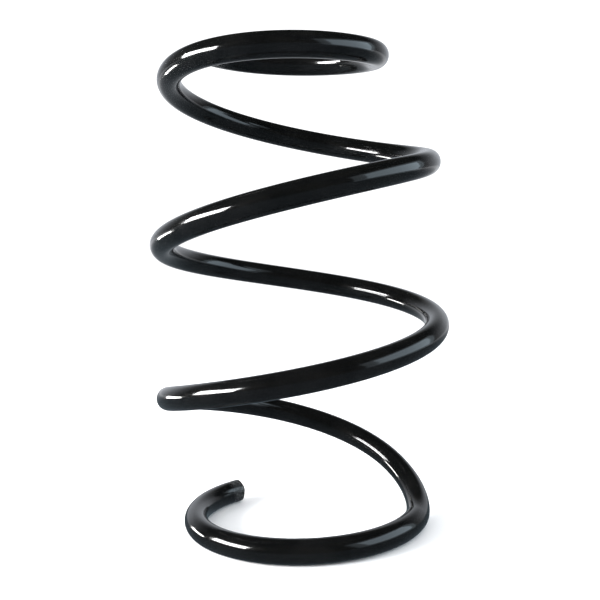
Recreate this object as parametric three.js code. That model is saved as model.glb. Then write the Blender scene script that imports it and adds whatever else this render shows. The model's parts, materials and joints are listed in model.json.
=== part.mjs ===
// Coil spring for a car's front strut: one round steel wire wound into about
// four right-handed turns. The lower end coil lies flat, the body bulges like
// a barrel, and a smaller coil closes the top.
//
// Millimetres, +Z up. The origin is in the middle of the spring's footprint, in
// the plane that the lower end coil stands on.
//
// A coil spring works by twisting its wire. The wire is modelled in lengths
// that meet face to face, and each length turns against the next about the
// wire's own centreline, so the wire stays smooth as the spring is pressed.
import * as THREE from 'three';

// ---- driving dimensions ----
const wireDiameter = 13;
const freeHeight = 270; // unloaded, from the seat plane to the top of the wire
const lowerEndRadius = 60; // radii are from the axis to the wire's centreline
const bodyRadius = 75.6;
const upperEndRadius = 45.4;
const totalTurns = 4.06;
const startAngle = 129.7; // degrees from +X to the lower cut end
const coilAxis = { x: -2.5, y: 0.6 };
const flatTurns = 0.6; // the part of the lower end coil that lies on the seat

// Height of the wire's centreline above the flat part, turn by turn. Only the
// shares matter: the heights are scaled to the free height.
const riseStations = [
  [flatTurns, 0], [0.75, 18.4], [1, 53.4], [1.25, 76], [1.5, 95.8], [1.75, 114.7], [2, 135.7],
  [2.25, 159.5], [2.5, 183], [2.75, 199.6], [3, 224.8], [3.25, 242.6], [3.5, 244.8],
  [3.75, 250.1], [totalTurns, 256.5],
];

// Radius of the coil, turn by turn: the share of the way out from an end coil's
// radius to the body's. The top coil opens again a little towards its end.
const fromLower = (share) => lowerEndRadius + share * (bodyRadius - lowerEndRadius);
const fromUpper = (share) => upperEndRadius + share * (bodyRadius - upperEndRadius);
const radiusStations = [
  [0, fromLower(0)], [0.5, fromLower(0)], [0.75, fromLower(0.48)], [1, fromLower(0.63)],
  [1.25, fromLower(0.78)], [1.5, bodyRadius], [1.75, fromUpper(0.98)], [2, fromUpper(0.865)],
  [2.25, fromUpper(0.85)], [2.5, fromUpper(0.915)], [2.75, fromUpper(0.88)],
  [3, fromUpper(0.71)], [3.25, fromUpper(0.5)], [3.5, fromUpper(0.18)], [3.75, upperEndRadius],
  [totalTurns, fromUpper(0.15)],
];

// ---- how the wire is divided ----
const lowerEndTurns = 0.625; // length of wire that stays still on the lower seat
const upperEndTurns = 0.81; // length of wire that moves as one with the upper seat
const activeLengths = 21;
const lowerEndLengths = 5;
const upperEndLengths = 6;
const faceGap = 0.3; // between two lengths' end faces
const sectionSides = 12;
const stepTurns = 1 / 64;

const steelBlack = { color: 0x0c0d0f, roughness: 0.22, metalness: 0.1 };

// A smooth curve through stations of [turns, value]: level before the first
// station, and free to run straight at the last.
function curveThrough(stations) {
  const last = stations.length - 1;
  const width = (i) => stations[i + 1][0] - stations[i][0];
  const chord = (i) => (stations[i + 1][1] - stations[i][1]) / width(i);
  const diagonal = [1];
  const upper = [0];
  const right = [0];
  for (let i = 1; i < last; i++) {
    const below = 1 / width(i - 1);
    upper.push(1 / width(i));
    diagonal.push(2 * (below + upper[i]) - below * upper[i - 1] / diagonal[i - 1]);
    right.push(3 * (chord(i - 1) * below + chord(i) * upper[i])
      - below * right[i - 1] / diagonal[i - 1]);
  }
  const slopes = new Array(last + 1);
  slopes[last] = (3 * chord(last - 1) - right[last - 1] / diagonal[last - 1])
    / (2 - upper[last - 1] / diagonal[last - 1]);
  for (let i = last - 1; i >= 0; i--) {
    slopes[i] = (right[i] - upper[i] * slopes[i + 1]) / diagonal[i];
  }
  return (turns) => {
    if (turns <= stations[0][0]) return stations[0][1];
    let i = 0;
    while (i < last - 1 && turns > stations[i + 1][0]) i++;
    const u = (turns - stations[i][0]) / width(i);
    return stations[i][1] * (1 + 2 * u) * (1 - u) ** 2
      + slopes[i] * width(i) * u * (1 - u) ** 2
      + stations[i + 1][1] * u ** 2 * (3 - 2 * u)
      + slopes[i + 1] * width(i) * u ** 2 * (u - 1);
  };
}

const riseAt = curveThrough(riseStations);
const riseScale = (freeHeight - wireDiameter) / riseAt(totalTurns);
const radiusAt = curveThrough(radiusStations);

function awayFromAxis(turns) {
  const angle = THREE.MathUtils.degToRad(startAngle) + 2 * Math.PI * turns;
  return new THREE.Vector3(Math.cos(angle), Math.sin(angle), 0);
}

function wireCentre(turns) {
  const height = wireDiameter / 2 + riseScale * riseAt(turns);
  return new THREE.Vector3(coilAxis.x, coilAxis.y, height)
    .addScaledVector(awayFromAxis(turns), radiusAt(turns));
}

const nearby = 1e-4; // turns
const centreSpeed = (turns) =>
  wireCentre(turns + nearby).distanceTo(wireCentre(turns - nearby)) / (2 * nearby);

// One length of the centreline. Its frames keep the section's x axis pointing
// away from the coil's axis, so the sections of two lengths match where they meet.
class WireLength extends THREE.Curve {
  constructor(fromTurns, toTurns) {
    super();
    this.fromTurns = fromTurns;
    this.toTurns = toTurns;
  }

  turnsAt(t) {
    return this.fromTurns + (this.toTurns - this.fromTurns) * t;
  }

  getPoint(t) {
    return wireCentre(this.turnsAt(t));
  }

  getSpacedPoints(steps) {
    return this.getPoints(steps);
  }

  computeFrenetFrames(steps) {
    const frames = { tangents: [], normals: [], binormals: [] };
    for (let i = 0; i <= steps; i++) {
      const turns = this.turnsAt(i / steps);
      const along = wireCentre(turns + nearby).sub(wireCentre(turns - nearby)).normalize();
      const outward = awayFromAxis(turns);
      outward.addScaledVector(along, -outward.dot(along)).normalize();
      frames.tangents.push(along);
      frames.normals.push(outward);
      frames.binormals.push(new THREE.Vector3().crossVectors(along, outward));
    }
    return frames;
  }
}

// A regular polygon around the round wire, with one flat facing down and one up.
function wireSection() {
  const cornerRadius = wireDiameter / 2 / Math.cos(Math.PI / sectionSides);
  const section = new THREE.Shape();
  for (let side = 0; side < sectionSides; side++) {
    const angle = (side + 0.5) * 2 * Math.PI / sectionSides;
    const x = cornerRadius * Math.cos(angle);
    const y = cornerRadius * Math.sin(angle);
    if (side === 0) section.moveTo(x, y);
    else section.lineTo(x, y);
  }
  section.closePath();
  return section;
}

const spring = new THREE.Group();
const section = wireSection();

function addWire(name, fromTurns, toTurns) {
  const isFirst = fromTurns === 0;
  const isLast = toTurns === totalTurns;
  const start = isFirst ? 0 : fromTurns + faceGap / 2 / centreSpeed(fromTurns);
  const end = isLast ? totalTurns : toTurns - faceGap / 2 / centreSpeed(toTurns);
  const geometry = new THREE.ExtrudeGeometry(section, {
    steps: Math.round((toTurns - fromTurns) / stepTurns),
    extrudePath: new WireLength(start, end),
  });
  const mesh = new THREE.Mesh(geometry, new THREE.MeshStandardMaterial(steelBlack));
  mesh.name = name;
  spring.add(mesh);
}

// Adds a run of equal lengths between two places on the wire.
function addRun(name, count, fromTurns, toTurns) {
  const cutAt = (i) => (i === count ? toTurns : fromTurns + (toTurns - fromTurns) * i / count);
  for (let i = 0; i < count; i++) {
    addWire(`${name}_${String(i + 1).padStart(2, '0')}`, cutAt(i), cutAt(i + 1));
  }
}

const activeStart = lowerEndTurns;
const activeEnd = totalTurns - upperEndTurns;
addRun('lower_end_coil', lowerEndLengths, 0, activeStart);
addRun('active_wire', activeLengths, activeStart, activeEnd);
addRun('upper_end_coil', upperEndLengths, activeEnd, totalTurns);

export default spring;
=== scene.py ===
# Coil spring for a car's front strut, in gloss black coated steel, on a pale floor.
# The wire is built in lengths that ride on the frame's bodies and meet cut to cut.
import json
import math
import bpy
import numpy as np
from mathutils import Matrix, Vector


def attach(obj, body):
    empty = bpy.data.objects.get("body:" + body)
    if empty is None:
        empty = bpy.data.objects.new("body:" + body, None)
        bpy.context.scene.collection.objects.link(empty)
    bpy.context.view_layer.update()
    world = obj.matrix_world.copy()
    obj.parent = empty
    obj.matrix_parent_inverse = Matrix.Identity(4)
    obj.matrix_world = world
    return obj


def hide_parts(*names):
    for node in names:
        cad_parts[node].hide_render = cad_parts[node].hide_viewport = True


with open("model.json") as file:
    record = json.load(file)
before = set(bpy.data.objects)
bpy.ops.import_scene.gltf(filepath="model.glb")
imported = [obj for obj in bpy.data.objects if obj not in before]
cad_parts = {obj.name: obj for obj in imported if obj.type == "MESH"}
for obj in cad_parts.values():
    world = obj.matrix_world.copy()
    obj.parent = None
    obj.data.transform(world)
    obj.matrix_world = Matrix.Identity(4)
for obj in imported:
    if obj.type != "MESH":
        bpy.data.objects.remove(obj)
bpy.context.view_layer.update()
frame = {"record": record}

# metres and degrees; turns are counted along the wire from its lower cut end
spring = {
    "wireDiameter": 0.013,
    "freeHeight": 0.270,
    "lowerEndRadius": 0.060,      # radii run to the wire's centreline
    "bodyRadius": 0.0756,
    "upperEndRadius": 0.0454,
    "totalTurns": 4.06,
    "startAngle": 129.7,
    "axis": (-0.0025, 0.0006),    # where the coil's axis stands
    "flatTurns": 0.6,             # wire that lies on the seat
    "lowerEndTurns": 0.625,       # wire that stays still with the lower seat
    "upperEndTurns": 0.81,        # wire that moves with the upper seat
    "activeLengths": 21,
    "jointGap": 0.00002,          # between two lengths, so that they can turn
    "insideBy": 0.00007,          # keeps the finer surface inside the solids' box
    "sides": 64,                  # round the wire
    "stepTurns": 1 / 200,         # along the wire
}

# height of the centreline above the flat part; only the shares matter
riseStations = [
    (spring["flatTurns"], 0), (0.75, 18.4), (1, 53.4), (1.25, 76), (1.5, 95.8), (1.75, 114.7),
    (2, 135.7), (2.25, 159.5), (2.5, 183), (2.75, 199.6), (3, 224.8), (3.25, 242.6),
    (3.5, 244.8), (3.75, 250.1), (spring["totalTurns"], 256.5),
]


# radius of the coil, as a share of the way from an end coil out to the body
def fromEnd(end, share):
    return spring[end] + share * (spring["bodyRadius"] - spring[end])


lowerShares = [(0, 0), (0.5, 0), (0.75, 0.48), (1, 0.63), (1.25, 0.78), (1.5, 1)]
upperShares = [(1.75, 0.98), (2, 0.865), (2.25, 0.85), (2.5, 0.915), (2.75, 0.88), (3, 0.71),
               (3.25, 0.5), (3.5, 0.18), (3.75, 0), (spring["totalTurns"], 0.15)]
radiusStations = ([(turns, fromEnd("lowerEndRadius", share)) for turns, share in lowerShares]
                  + [(turns, fromEnd("upperEndRadius", share)) for turns, share in upperShares])


# smooth curve through (turns, value) pairs: level before the first, straight after the last
def curveThrough(stations):
    turns, values = np.array(stations, float).T
    width = np.diff(turns)
    chord = np.diff(values) / width
    last = len(turns) - 1
    rows = np.zeros((last + 1, last + 1))
    right = np.zeros(last + 1)
    rows[0, 0] = 1
    for i in range(1, last):
        rows[i, i - 1] = 1 / width[i - 1]
        rows[i, i + 1] = 1 / width[i]
        rows[i, i] = 2 * (rows[i, i - 1] + rows[i, i + 1])
        right[i] = 3 * (chord[i - 1] / width[i - 1] + chord[i] / width[i])
    rows[last, last - 1:] = 1, 2
    right[last] = 3 * chord[last - 1]
    slopes = np.linalg.solve(rows, right)

    def valueAt(t):
        i = np.clip(np.searchsorted(turns, t, side="right") - 1, 0, last - 1)
        u = (t - turns[i]) / width[i]
        value = (values[i] * (1 + 2 * u) * (1 - u) ** 2
                 + slopes[i] * width[i] * u * (1 - u) ** 2
                 + values[i + 1] * u ** 2 * (3 - 2 * u)
                 + slopes[i + 1] * width[i] * u ** 2 * (u - 1))
        return np.where(t <= turns[0], values[0], value)

    return valueAt


riseAt = curveThrough(riseStations)
radiusAt = curveThrough(radiusStations)
riseScale = (spring["freeHeight"] - spring["wireDiameter"]) / float(riseAt(spring["totalTurns"]))
wireRadius = spring["wireDiameter"] / 2
surfaceRadius = wireRadius - spring["insideBy"]


def awayFromAxis(turns):
    angle = math.radians(spring["startAngle"]) + 2 * math.pi * turns
    return np.stack([np.cos(angle), np.sin(angle), 0 * angle], axis=-1)


def wireCentre(turns):
    centre = radiusAt(turns)[..., None] * awayFromAxis(turns)
    centre[..., 2] = wireRadius + riseScale * riseAt(turns)
    centre[..., :2] += spring["axis"]
    return centre


def unit(vectors):
    return vectors / np.linalg.norm(vectors, axis=-1, keepdims=True)


# centre, direction along the wire, direction away from the coil's axis, and their cross product
def wireFrame(turns):
    nearby = 1e-4
    centre = wireCentre(turns)
    along = unit(wireCentre(turns + nearby) - wireCentre(turns - nearby))
    outward = awayFromAxis(turns)
    outward = unit(outward - along * np.sum(along * outward, axis=-1, keepdims=True))
    return centre, along, outward, np.cross(along, outward)


# length of wire from the lower cut end, read off a fine table
tableReach = 0.05                 # turns that the table runs past each cut end
tableSize = 4101
lengthTurns = np.linspace(-tableReach, spring["totalTurns"] + tableReach, tableSize)
lengthSteps = np.linalg.norm(np.diff(wireCentre(lengthTurns), axis=0), axis=1)
lengthTable = np.concatenate([[0], np.cumsum(lengthSteps)])
lengthTable -= np.interp(0, lengthTurns, lengthTable)


def lengthAt(turns):
    return np.interp(turns, lengthTurns, lengthTable)


def turnsAt(length):
    return np.interp(length, lengthTable, lengthTurns)


cutEnd = {
    "rimRadius": 0.0009,          # how far the coating rounds the sheared edge
    "rimSteps": 7,
    "faceRings": 26,
    "lowerTurned": 140,           # degrees round the wire to the edge that the blade met first
    "upperTurned": -60,
    "rollOver": 0.00055,          # sag of that edge
    "rollFrom": 0.45,             # where the sag starts; places are shares of the radius
    "rollWidth": 0.55,
    "tearDepth": 0.00030,         # step between the smooth and the torn part
    "tearAt": 0.18,
    "tearWidth": 0.16,
    "tearWander": [(0.10, 5.1, 0.7), (0.05, 13.3, 2.1)],  # size, waves and start
    "grain": 0.00010,             # height of the torn part's grain
    "grainLevel": 1.6,            # lifts the grain's waves above the flat face
    "grainRange": 2.6,
    "smoothGrain": 0.15,          # share of the grain that the smooth part has
    # each grain: its weight, then two waves' numbers across and beside the blade, and starts
    "grainWaves": [(1.0, (17.0, 9.0, 0), (-5.0, 23.0, 1.3)),
                   (0.6, (41.0, -31.0, 0.4), (29.0, 37.0, 2.2))],
}


# soft step from 0 to 1
def smoothStep(x):
    x = np.clip(x, 0, 1)
    return x * x * (3 - 2 * x)


def planeWave(across, beside, acrossWaves, besideWaves, start):
    return np.sin(acrossWaves * across + besideWaves * beside + start)


# how far the sheared face lies inside the flat cut, for a point (x, y) of the section in radii
def shearRelief(x, y, turnedBy):
    across = x * math.cos(turnedBy) + y * math.sin(turnedBy)
    beside = y * math.cos(turnedBy) - x * math.sin(turnedBy)
    wander = sum(size * np.sin(waves * beside + start)
                 for size, waves, start in cutEnd["tearWander"])
    torn = smoothStep((cutEnd["tearAt"] - across + wander) / cutEnd["tearWidth"])
    grain = sum(weight * planeWave(across, beside, *first) * planeWave(across, beside, *second)
                for weight, first, second in cutEnd["grainWaves"])
    grainShare = cutEnd["smoothGrain"] + (1 - cutEnd["smoothGrain"]) * torn
    rolled = smoothStep((across - cutEnd["rollFrom"]) / cutEnd["rollWidth"])
    return (cutEnd["rollOver"] * rolled + cutEnd["tearDepth"] * torn
            + cutEnd["grain"] * (cutEnd["grainLevel"] + grain) * grainShare
            / cutEnd["grainRange"])


# kinds of face: the coated side of the wire, a cut end, and a hidden face at a joint
wireSide, cutFace, jointFace = range(3)


# points, normals and faces of one length of wire, as they are added
class MeshParts:
    def __init__(self):
        self.places = []
        self.normals = []
        self.faces = []
        self.faceKinds = []
        self.count = 0

    # adds a ring of points and returns its indices
    def addRing(self, places, normals):
        first = self.count
        self.places.extend(places)
        self.normals.extend(normals)
        self.count += len(places)
        return list(range(first, self.count))

    # joins two rings of the same size
    def join(self, ringA, ringB, kind):
        size = len(ringA)
        for k in range(size):
            after = (k + 1) % size
            self.faces.append((ringA[k], ringA[after], ringB[after], ringB[k]))
            self.faceKinds.append(kind)

    # closes a ring with one flat face at a joint
    def close(self, ring, facesForward):
        self.faces.append(tuple(ring) if facesForward else tuple(reversed(ring)))
        self.faceKinds.append(jointFace)


sectionAngles = 2 * math.pi * np.arange(spring["sides"]) / spring["sides"]


# points and normals of one ring of the wire's surface
def ringAt(turns):
    centre, along, outward, across = wireFrame(np.array([turns]))
    spread = np.cos(sectionAngles)[:, None] * outward + np.sin(sectionAngles)[:, None] * across
    return centre + surfaceRadius * spread, spread


# rim and face of a cut end, from the last full ring to the middle; sign is +1 where the wire
# ends in the direction along it
def addCutEnd(parts, endTurns, sign, lastRing, turnedBy):
    centre, along, outward, across = (v[0] for v in wireFrame(np.array([endTurns])))
    rim = cutEnd["rimRadius"]
    rings = []
    profile = []
    for step in range(1, cutEnd["rimSteps"] + 1):
        a = math.pi / 2 * step / cutEnd["rimSteps"]
        profile.append((surfaceRadius - rim * (1 - math.cos(a)),
                        rim * (1 - math.sin(a)), math.sin(a)))
    faceRadius = surfaceRadius - rim
    for step in range(1, cutEnd["faceRings"]):
        profile.append((faceRadius * (1 - step / cutEnd["faceRings"]), 0, 1))
    for radius, back, faceShare in profile:
        x = radius / wireRadius * np.cos(sectionAngles)
        y = radius / wireRadius * np.sin(sectionAngles)
        depth = back + faceShare * shearRelief(x, y, turnedBy)
        flat = x[:, None] * outward + y[:, None] * across
        rings.append(centre + wireRadius * flat - sign * depth[:, None] * along)
    indices = [lastRing]
    for places in rings:
        indices.append(parts.addRing(places, np.zeros_like(places)))
    for i in range(len(indices) - 1):
        pair = (indices[i], indices[i + 1]) if sign > 0 else (indices[i + 1], indices[i])
        parts.join(pair[0], pair[1], cutFace)
    middleDepth = float(shearRelief(np.zeros(1), np.zeros(1), turnedBy)[0])
    middle = parts.addRing([centre - sign * middleDepth * along], [np.zeros(3)])[0]
    ring = indices[-1]
    for k in range(len(ring)):
        after = ring[(k + 1) % len(ring)]
        parts.faces.append((ring[k], after, middle) if sign > 0 else (after, ring[k], middle))
        parts.faceKinds.append(cutFace)


# smooth normals for the points that have none of their own
def fillNormals(parts, places):
    summed = np.zeros_like(places)
    for face, kind in zip(parts.faces, parts.faceKinds):
        if kind != cutFace:
            continue
        a, b, c = places[face[0]], places[face[1]], places[face[2]]
        normal = np.cross(b - a, c - a)
        for index in face:
            summed[index] += normal
    normals = np.array(parts.normals, float)
    bare = ~np.any(normals, axis=1)
    normals[bare] = unit(summed[bare])
    return normals


def addWireLength(name, fromTurns, toTurns):
    parts = MeshParts()
    isFirst = fromTurns == 0
    isLast = toTurns == spring["totalTurns"]
    # the rounded rim takes the last bit of a cut end
    rimTurns = [turnsAt(cutEnd["rimRadius"]),
                turnsAt(lengthAt(spring["totalTurns"]) - cutEnd["rimRadius"])]
    halfGap = spring["jointGap"] / 2
    start = rimTurns[0] if isFirst else turnsAt(lengthAt(fromTurns) + halfGap)
    end = rimTurns[1] if isLast else turnsAt(lengthAt(toTurns) - halfGap)
    steps = max(2, round((end - start) / spring["stepTurns"]))
    rings = []
    for i in range(steps + 1):
        places, normals = ringAt(start + (end - start) * i / steps)
        rings.append(parts.addRing(places, normals))
    for i in range(steps):
        parts.join(rings[i], rings[i + 1], wireSide)
    if isFirst:
        addCutEnd(parts, 0.0, -1, rings[0], math.radians(cutEnd["lowerTurned"]))
    else:
        parts.close(rings[0], False)
    if isLast:
        addCutEnd(parts, spring["totalTurns"], 1, rings[-1],
                  math.radians(cutEnd["upperTurned"]))
    else:
        parts.close(rings[-1], True)

    places = np.array(parts.places, float)
    normals = fillNormals(parts, places)
    mesh = bpy.data.meshes.new(name)
    mesh.from_pydata([tuple(p) for p in places], [], parts.faces)
    mesh.update()
    loopNormals = []
    for polygon, kind in zip(mesh.polygons, parts.faceKinds):
        flat = kind == jointFace
        polygon.use_smooth = not flat
        polygon.material_index = 1 if kind == cutFace else 0
        for index in polygon.vertices:
            loopNormals.append(tuple(polygon.normal) if flat else tuple(normals[index]))
    mesh.normals_split_custom_set(loopNormals)
    piece = bpy.data.objects.new(name, mesh)
    bpy.context.scene.collection.objects.link(piece)
    mesh.materials.append(coatedWire)
    mesh.materials.append(coatedCut)
    return piece


# noises are waves per metre, detail and roughness; ranges are the parts of a noise that are used
coating = {
    "black": (0.0016, 0.0018, 0.0019, 1),
    "blackLight": (0.0042, 0.0044, 0.0045, 1),
    "cloud": (55, 4, 0.55),       # slow change from one black to the other
    "cloudRange": (0.35, 0.75),
    "gloss": (0.10, 0.20),        # roughness where the coating is smooth, and where it is dull
    "haze": (120, 6, 0.6),
    "hazeRange": (0.45, 0.75),
    "specular": 0.35,
    "coatWeight": 0.35,
    "coatRoughness": 0.045,
    "orangePeel": (420, 2, 0.5),
    "orangePeelHeight": 0.000020,
    "peenDimples": (1500, 0, 0.5),
    "peenHeight": 0.000003,
    "endFrom": 0.0122,            # the coating turns mottled this far from a cut end's middle
    "endTo": 0.0076,
    "endGrey": (0.110, 0.112, 0.115, 1),
    "endRoughness": 0.50,
    "flecks": (1100, 3, 0.65),
    "fleckRange": (0.50, 0.60),
}


def newMaterial(name):
    material = bpy.data.materials.new(name)
    material.use_nodes = True
    material.node_tree.nodes.clear()
    return material


def addNode(tree, kind, place, **settings):
    node = tree.nodes.new(kind)
    node.location = place
    for key, value in settings.items():
        setattr(node, key, value)
    return node


def addNoise(tree, coordinates, settings, place):
    scale, detail, roughness = settings
    noise = addNode(tree, "ShaderNodeTexNoise", place)
    noise.inputs["Scale"].default_value = scale
    noise.inputs["Detail"].default_value = detail
    noise.inputs["Roughness"].default_value = roughness
    tree.links.new(coordinates, noise.inputs["Vector"])
    return noise.outputs["Fac"]


def addRange(tree, value, fromMin, fromMax, toMin, toMax, place):
    node = addNode(tree, "ShaderNodeMapRange", place)
    for key, number in (("From Min", fromMin), ("From Max", fromMax),
                        ("To Min", toMin), ("To Max", toMax)):
        node.inputs[key].default_value = number
    tree.links.new(value, node.inputs["Value"])
    return node.outputs["Result"]


# colour that runs from one to the other over a range of the value
def addRamp(tree, value, valueRange, colors, place):
    ramp = addNode(tree, "ShaderNodeValToRGB", place)
    for element, position, color in zip(ramp.color_ramp.elements, valueRange, colors):
        element.position = position
        element.color = color
    tree.links.new(value, ramp.inputs["Fac"])
    return ramp.outputs["Color"]


# bump of a height in metres, on top of another bump if there is one
def addBump(tree, value, height, place, under=None):
    bump = addNode(tree, "ShaderNodeBump", place)
    bump.inputs["Strength"].default_value = 1
    bump.inputs["Distance"].default_value = height
    tree.links.new(value, bump.inputs["Height"])
    if under is not None:
        tree.links.new(under, bump.inputs["Normal"])
    return bump.outputs["Normal"]


def makeCoatedWire():
    material = newMaterial("coatedWire")
    tree = material.node_tree
    link = tree.links.new
    where = addNode(tree, "ShaderNodeTexCoord", (-1400, 0)).outputs["Object"]
    output = addNode(tree, "ShaderNodeOutputMaterial", (500, 0))
    shader = addNode(tree, "ShaderNodeBsdfPrincipled", (200, 0))
    link(shader.outputs["BSDF"], output.inputs["Surface"])

    cloud = addNoise(tree, where, coating["cloud"], (-1100, 300))
    black = addRamp(tree, cloud, coating["cloudRange"],
                    (coating["black"], coating["blackLight"]), (-850, 300))
    haze = addNoise(tree, where, coating["haze"], (-1100, 0))
    dull = addRange(tree, haze, *coating["hazeRange"], *coating["gloss"], (-850, 0))

    # grey mottling where the shear marked the wire beside each cut
    nearEnd = None
    for index, endTurns in enumerate((0.0, spring["totalTurns"])):
        away = addNode(tree, "ShaderNodeVectorMath", (-1400, 700 + 250 * index),
                       operation="DISTANCE")
        away.inputs[1].default_value = wireCentre(np.array(endTurns))
        link(where, away.inputs[0])
        share = addRange(tree, away.outputs["Value"], coating["endFrom"], coating["endTo"],
                         0, 1, (-1150, 700 + 250 * index))
        if nearEnd is None:
            nearEnd = share
        else:
            most = addNode(tree, "ShaderNodeMath", (-900, 800), operation="MAXIMUM")
            link(nearEnd, most.inputs[0])
            link(share, most.inputs[1])
            nearEnd = most.outputs["Value"]
    speckle = addNoise(tree, where, coating["flecks"], (-1150, 500))
    flecks = addRange(tree, speckle, *coating["fleckRange"], 0, 1, (-900, 500))
    marked = addNode(tree, "ShaderNodeMath", (-650, 650), operation="MULTIPLY")
    link(nearEnd, marked.inputs[0])
    link(flecks, marked.inputs[1])
    # a Mix node has its colour sockets at 6, 7 and out 2, and its numbers at 2, 3 and out 0
    tint = addNode(tree, "ShaderNodeMix", (-400, 400), data_type="RGBA")
    link(marked.outputs["Value"], tint.inputs["Factor"])
    link(black, tint.inputs[6])
    tint.inputs[7].default_value = coating["endGrey"]
    link(tint.outputs[2], shader.inputs["Base Color"])
    worn = addNode(tree, "ShaderNodeMix", (-400, 100), data_type="FLOAT")
    link(nearEnd, worn.inputs["Factor"])
    link(dull, worn.inputs[2])
    worn.inputs[3].default_value = coating["endRoughness"]
    link(worn.outputs[0], shader.inputs["Roughness"])

    peel = addNoise(tree, where, coating["orangePeel"], (-1100, -300))
    peelBump = addBump(tree, peel, coating["orangePeelHeight"], (-600, -300))
    dimples = addNoise(tree, where, coating["peenDimples"], (-1100, -600))
    dimpleBump = addBump(tree, dimples, coating["peenHeight"], (-300, -300), peelBump)
    link(dimpleBump, shader.inputs["Normal"])
    link(peelBump, shader.inputs["Coat Normal"])

    shader.inputs["Specular IOR Level"].default_value = coating["specular"]
    shader.inputs["Coat Weight"].default_value = coating["coatWeight"]
    shader.inputs["Coat Roughness"].default_value = coating["coatRoughness"]
    return material


cutFaceLook = {
    "black": (0.0030, 0.0032, 0.0034, 1),
    "grey": (0.022, 0.023, 0.024, 1),
    "blotch": (700, 4, 0.6),
    "blotchRange": (0.45, 0.78),
    "roughness": (0.55, 0.80),
    "grain": (1900, 5, 0.6),
    "grainRange": (0.3, 0.7),
    "grainHeight": 0.00012,
    "specular": 0.3,
    "coatWeight": 0.06,
    "coatRoughness": 0.2,
}


def makeCoatedCut():
    material = newMaterial("coatedCut")
    tree = material.node_tree
    link = tree.links.new
    where = addNode(tree, "ShaderNodeTexCoord", (-1400, 0)).outputs["Object"]
    output = addNode(tree, "ShaderNodeOutputMaterial", (500, 0))
    shader = addNode(tree, "ShaderNodeBsdfPrincipled", (200, 0))
    link(shader.outputs["BSDF"], output.inputs["Surface"])
    grain = addNoise(tree, where, cutFaceLook["grain"], (-1100, -300))
    blotch = addNoise(tree, where, cutFaceLook["blotch"], (-1100, 300))
    color = addRamp(tree, blotch, cutFaceLook["blotchRange"],
                    (cutFaceLook["black"], cutFaceLook["grey"]), (-850, 300))
    link(color, shader.inputs["Base Color"])
    rough = addRange(tree, grain, *cutFaceLook["grainRange"], *cutFaceLook["roughness"],
                     (-850, 0))
    link(rough, shader.inputs["Roughness"])
    bump = addBump(tree, grain, cutFaceLook["grainHeight"], (-300, -300))
    link(bump, shader.inputs["Normal"])
    shader.inputs["Specular IOR Level"].default_value = cutFaceLook["specular"]
    shader.inputs["Coat Weight"].default_value = cutFaceLook["coatWeight"]
    shader.inputs["Coat Roughness"].default_value = cutFaceLook["coatRoughness"]
    return material


coatedWire = makeCoatedWire()
coatedCut = makeCoatedCut()
print("coating materials made")

activeStart = spring["lowerEndTurns"]
activeEnd = spring["totalTurns"] - spring["upperEndTurns"]


def cutAt(i):
    count = spring["activeLengths"]
    return activeEnd if i == count else activeStart + (activeEnd - activeStart) * i / count


def nodesOf(body):
    return frame["record"]["behaviour"]["bodies"][body]


def placeLength(name, body, fromTurns, toTurns):
    piece = addWireLength(name, fromTurns, toTurns)
    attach(piece, body)
    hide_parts(*nodesOf(body))


placeLength("lowerEndCoil", "lower_end", 0, activeStart)
for i in range(spring["activeLengths"]):
    placeLength(f"activeWire_{i + 1:02d}", f"active_{i + 1:02d}", cutAt(i), cutAt(i + 1))
placeLength("upperEndCoil", "upper_end", activeEnd, spring["totalTurns"])
print("wire built in", spring["activeLengths"] + 2, "lengths")

studio = {
    "floorColor": (0.88, 0.88, 0.89, 1),
    "floorSize": 40,
    "floorRoughness": 0.9,
    "floorSpecular": 0.1,
    "paintedReflectionNear": (0.10, 0.125, 0.145, 1),  # painted reflection: the floor round the spring glows this dark blue-grey, seen only in the coating's reflections
    "paintedReflectionFar": (0.80, 0.82, 0.86, 1),      # and this pale colour for the floor far behind it, also a painted reflection
    "farFrom": 0.2,                         # metres behind the spring where the painted reflection of the floor brightens
    "farTo": 1.8,
    "target": (0, 0, 0.14),
    "sky": 1.3,                             # brightness behind the spring
    "roomDark": (0.006, 0.008, 0.008, 1),   # the dark room that the coating mirrors
    "roomWarm": (0.060, 0.056, 0.040, 1),   # and the dim things that stand about in it
    "roomClutter": (2.6, 3, 0.5),
    "clutterRange": (0.42, 0.72),
    "paper": (0.62, 0.65, 0.70, 1),         # the pale paper behind the spring, mirrored
    "paperBehind": (0.35, 0.85),            # where the paper starts behind and below
    "paperBelow": (0.62, 0.30),
    "panels": [
        # name, azimuth, elevation, distance, width, height, power, color
        ("leftPanel", -164, 15, 1.2, 0.82, 0.36, 42, (1, 1, 1)),
        ("leftLowPanel", 158, -7, 0.62, 0.24, 0.06, 1.6, (1, 0.99, 0.96)),
        ("rightPanel", -10, 18, 1.3, 1.3, 0.80, 6.5, (0.72, 0.88, 1)),
        ("rightSoftPanel", -12, 18, 1.35, 1.9, 1.15, 4.5, (0.76, 0.90, 1)),
    ],
}


# blends two shaders by a share, which comes from a socket
def addMix(tree, share, first, second, place):
    mix = addNode(tree, "ShaderNodeMixShader", place)
    tree.links.new(share, mix.inputs["Fac"])
    tree.links.new(first, mix.inputs[1])
    tree.links.new(second, mix.inputs[2])
    return mix.outputs["Shader"]


def addGlow(tree, kind, color, strength, place):
    glow = addNode(tree, kind, place)
    glow.inputs["Color"].default_value = color
    glow.inputs["Strength"].default_value = strength
    return glow.outputs[0]


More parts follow.
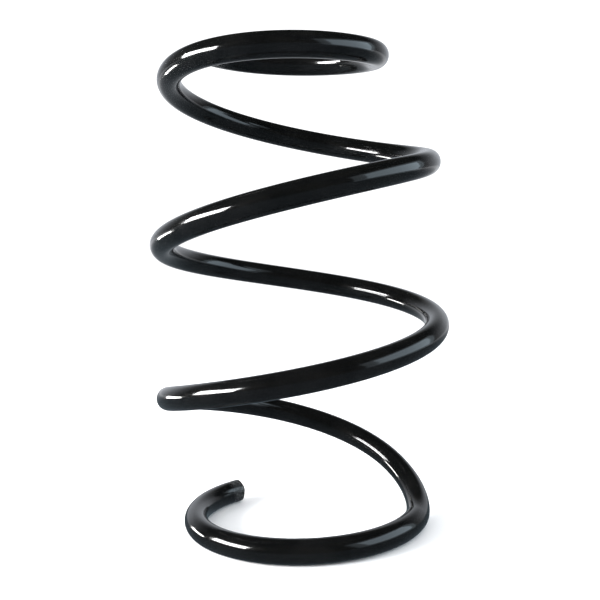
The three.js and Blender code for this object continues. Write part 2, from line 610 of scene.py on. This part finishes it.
def addFloor():
    half = studio["floorSize"] / 2
    mesh = bpy.data.meshes.new("floor")
    mesh.from_pydata([(-half, -half, 0), (half, -half, 0), (half, half, 0), (-half, half, 0)],
                     [], [(0, 1, 2, 3)])
    floor = bpy.data.objects.new("floor", mesh)
    bpy.context.scene.collection.objects.link(floor)
    material = newMaterial("paleFloor")
    tree = material.node_tree
    output = addNode(tree, "ShaderNodeOutputMaterial", (700, 0))
    shader = addNode(tree, "ShaderNodeBsdfPrincipled", (0, 200))
    shader.inputs["Base Color"].default_value = studio["floorColor"]
    shader.inputs["Roughness"].default_value = studio["floorRoughness"]
    shader.inputs["Specular IOR Level"].default_value = studio["floorSpecular"]
    where = addNode(tree, "ShaderNodeTexCoord", (-700, -200)).outputs["Object"]
    axes = addNode(tree, "ShaderNodeSeparateXYZ", (-500, -200))
    tree.links.new(where, axes.inputs["Vector"])
    far = addRange(tree, axes.outputs["Y"], studio["farFrom"], studio["farTo"], 0, 1, (-300, -200))
    # painted reflection: glossy rays see the floor as a glow, dark round the spring and pale far
    # behind, instead of the lit floor
    near = addGlow(tree, "ShaderNodeEmission", studio["paintedReflectionNear"], 1, (-100, -200))
    pale = addGlow(tree, "ShaderNodeEmission", studio["paintedReflectionFar"], 1, (-100, -400))
    mirrored = addMix(tree, far, near, pale, (200, -200))
    rays = addNode(tree, "ShaderNodeLightPath", (0, 500))
    shown = addMix(tree, rays.outputs["Is Glossy Ray"], shader.outputs["BSDF"], mirrored, (450, 0))
    tree.links.new(shown, output.inputs["Surface"])
    mesh.materials.append(material)


# a panel seen from the spring at this azimuth (0 along +X) and elevation, in degrees
def addPanel(name, azimuth, elevation, distance, width, height, power, color):
    light = bpy.data.lights.new(name, "AREA")
    light.shape = "RECTANGLE"
    light.size = width
    light.size_y = height
    light.energy = power
    light.color = color
    panel = bpy.data.objects.new(name, light)
    a, e = math.radians(azimuth), math.radians(elevation)
    towards = Vector((math.cos(a) * math.cos(e), math.sin(a) * math.cos(e), math.sin(e)))
    panel.location = Vector(studio["target"]) + towards * distance
    panel.rotation_mode = "QUATERNION"
    panel.rotation_quaternion = towards.to_track_quat("Z", "Y")
    panel.visible_camera = False
    bpy.context.scene.collection.objects.link(panel)


# white for the camera and for the light on the floor; the coating mirrors a dark room with
# pale paper low behind the spring
def addSky():
    world = bpy.data.worlds.new("studioWorld")
    bpy.context.scene.world = world
    world.use_nodes = True
    tree = world.node_tree
    tree.nodes.clear()
    output = addNode(tree, "ShaderNodeOutputWorld", (900, 0))
    where = addNode(tree, "ShaderNodeTexCoord", (-700, -200)).outputs["Generated"]
    axes = addNode(tree, "ShaderNodeSeparateXYZ", (-500, -200))
    tree.links.new(where, axes.inputs["Vector"])
    behind = addRange(tree, axes.outputs["Y"], *studio["paperBehind"], 0, 1, (-300, -100))
    low = addRange(tree, axes.outputs["Z"], *studio["paperBelow"], 0, 1, (-300, -350))
    both = addNode(tree, "ShaderNodeMath", (-100, -200), operation="MULTIPLY")
    tree.links.new(behind, both.inputs[0])
    tree.links.new(low, both.inputs[1])
    clutter = addNoise(tree, where, studio["roomClutter"], (-700, 100))
    tones = addRamp(tree, clutter, studio["clutterRange"],
                    (studio["roomDark"], studio["roomWarm"]), (-300, 200))
    room = addGlow(tree, "ShaderNodeBackground", studio["roomDark"], 1, (100, -200))
    tree.links.new(tones, room.node.inputs["Color"])
    paper = addGlow(tree, "ShaderNodeBackground", studio["paper"], 1, (100, -400))
    mirrored = addMix(tree, both.outputs["Value"], room, paper, (350, -200))
    sky = addGlow(tree, "ShaderNodeBackground", (1, 1, 1, 1), studio["sky"], (350, 200))
    rays = addNode(tree, "ShaderNodeLightPath", (350, 500))
    shown = addMix(tree, rays.outputs["Is Glossy Ray"], sky, mirrored, (650, 0))
    tree.links.new(shown, output.inputs["Surface"])


addFloor()
addSky()
for panel in studio["panels"]:
    addPanel(*panel)
print("floor and lights placed")

view = {
    "place": (-0.0025, -0.47395, 0.16675),
    "pitch": -4.965,              # degrees, nose up is positive
    "yaw": 0.273,                 # degrees, to the right is positive
    "roll": -1.917,
    "lens": 52.31,
    "sensor": 36,
    "clip": (0.01, 100),
}


def addCamera():
    pitch, yaw, roll = (math.radians(view[key]) for key in ("pitch", "yaw", "roll"))
    forward = Vector((math.sin(yaw) * math.cos(pitch), math.cos(yaw) * math.cos(pitch),
                      math.sin(pitch)))
    level = Vector((math.cos(yaw), -math.sin(yaw), 0))
    above = level.cross(forward)
    right = math.cos(roll) * level + math.sin(roll) * above
    up = math.cos(roll) * above - math.sin(roll) * level
    data = bpy.data.cameras.new("camera")
    data.sensor_width = view["sensor"]
    data.lens = view["lens"]
    data.clip_start, data.clip_end = view["clip"]
    camera = bpy.data.objects.new("camera", data)
    turn = Matrix((right, up, -forward)).transposed().to_4x4()
    camera.matrix_world = Matrix.Translation(view["place"]) @ turn
    bpy.context.scene.collection.objects.link(camera)
    bpy.context.scene.camera = camera


addCamera()
print("camera placed")

bpy.context.scene.view_settings.view_transform = "Standard"
